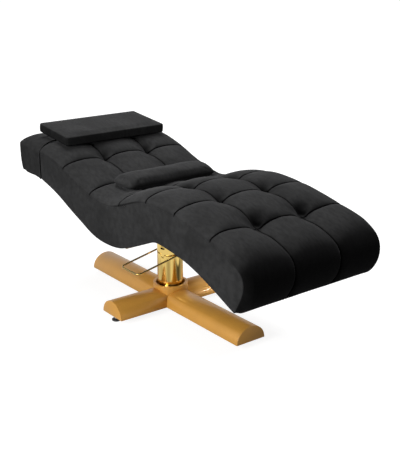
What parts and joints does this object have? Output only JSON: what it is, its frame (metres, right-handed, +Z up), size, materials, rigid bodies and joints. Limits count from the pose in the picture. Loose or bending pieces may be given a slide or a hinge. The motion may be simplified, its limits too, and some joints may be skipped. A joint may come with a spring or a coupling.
{
  "type": "eyelash extension bed",
  "caption": "Wave-shaped tufted velvet treatment bed with a hooded head cushion and a lumbar pillow, on a foot-pumped swivel column over a half-round cross base.",
  "frame": {"origin": "on the floor, under the middle of the bed's length and width", "axes": "+X towards the foot end, +Y towards the side away from the pedal, +Z up"},
  "size_m": [1.7027, 0.6864, 0.7658],
  "materials": {
    "velvet": "black short-pile velvet over foam",
    "lining": "black woven lining over thin board",
    "gold_paint": "satin gold powder coat",
    "polished_brass": "polished gold-coloured plating",
    "steel": "bright zinc-plated steel",
    "black_plastic": "matte black moulded plastic",
    "plywood": "unfinished plywood, hidden by the upholstery"
  },
  "bodies": {
    "base": {"base_long_beam": "gold_paint", "base_arm_near": "gold_paint", "base_arm_far": "gold_paint", "end_plate_foot": "gold_paint", "end_plate_head": "gold_paint", "end_plate_near": "gold_paint", "end_plate_far": "gold_paint", "foot_plate_foot": "gold_paint", "foot_plate_head": "gold_paint", "foot_plate_near": "gold_paint", "foot_plate_far": "gold_paint", "hub_plate": "gold_paint", "hub_collar": "gold_paint", "column_key": "polished_brass", "pump_cover": "polished_brass", "pump_head": "polished_brass", "pump_body": "steel", "pump_bolt_1": "steel", "pump_bolt_2": "steel", "pump_bolt_3": "steel", "pump_bolt_4": "steel", "pedal_pin_head": "steel", "pedal_pin_foot": "steel"},
    "pedal": {"foot_pedal": "polished_brass"},
    "ram": {"piston": "steel"},
    "bed": {"swivel_plate": "steel", "plate_bolt_1": "steel", "plate_bolt_2": "steel", "plate_bolt_3": "steel", "plate_bolt_4": "steel", "mounting_board": "plywood", "side_board_near": "plywood", "side_board_far": "plywood", "cross_rail_1": "plywood", "cross_rail_2": "plywood", "cross_rail_3": "plywood", "cross_rail_4": "plywood", "cross_rail_5": "plywood", "cross_rail_6": "plywood", "deck_panel": "plywood", "underside_panel_head": "lining", "underside_panel_foot": "lining", "flank_panel_near": "velvet", "flank_panel_far": "velvet", "top_cushion": "velvet"},
    "headrest": {"head_hood": "velvet", "hood_flap": "velvet", "head_pillow": "velvet"},
    "lumbar": {"lumbar_pillow": "velvet"},
    "levelling_foot_foot": {"levelling_pad_foot": "black_plastic", "levelling_stud_foot": "steel"},
    "levelling_foot_head": {"levelling_pad_head": "black_plastic", "levelling_stud_head": "steel"},
    "levelling_foot_near": {"levelling_pad_near": "black_plastic", "levelling_stud_near": "steel"},
    "levelling_foot_far": {"levelling_pad_far": "black_plastic", "levelling_stud_far": "steel"}
  },
  "joints": [
    {"name": "lift", "type": "slide", "parent": "base", "child": "ram", "axis": [0, 0, 1], "range_m": [0, 0.15]},
    {"name": "swivel", "type": "hinge", "parent": "ram", "child": "bed", "pos_m": [-0.085, 0, 0.342], "axis": [0, 0, 1], "continuous": true},
    {"name": "foot_pedal", "type": "hinge", "parent": "base", "child": "pedal", "pos_m": [-0.085, 0, 0.258], "axis": [1, 0, 0], "range_deg": [0, 20], "stiffness_Nm_per_rad": 6, "springref_deg": -17.19},
    {"name": "headrest", "type": "slide", "parent": "bed", "child": "headrest", "axis": [-1, 0, 0], "range_m": [0, 0.25]},
    {"name": "lumbar", "type": "slide", "parent": "bed", "child": "lumbar", "axis": [0, 0, 1], "range_m": [0, 0.3]},
    {"name": "levelling_foot", "type": "hinge", "parent": "base", "child": "levelling_foot_foot", "pos_m": [0.3807, 0, 0], "axis": [0, 0, 1], "continuous": true},
    {"name": "levelling_head", "type": "hinge", "parent": "base", "child": "levelling_foot_head", "pos_m": [-0.5507, 0, 0], "axis": [0, 0, 1], "continuous": true},
    {"name": "levelling_near", "type": "hinge", "parent": "base", "child": "levelling_foot_near", "pos_m": [-0.085, -0.2927, 0], "axis": [0, 0, 1], "continuous": true},
    {"name": "levelling_far", "type": "hinge", "parent": "base", "child": "levelling_foot_far", "pos_m": [-0.085, 0.2927, 0], "axis": [0, 0, 1], "continuous": true}
  ]
}
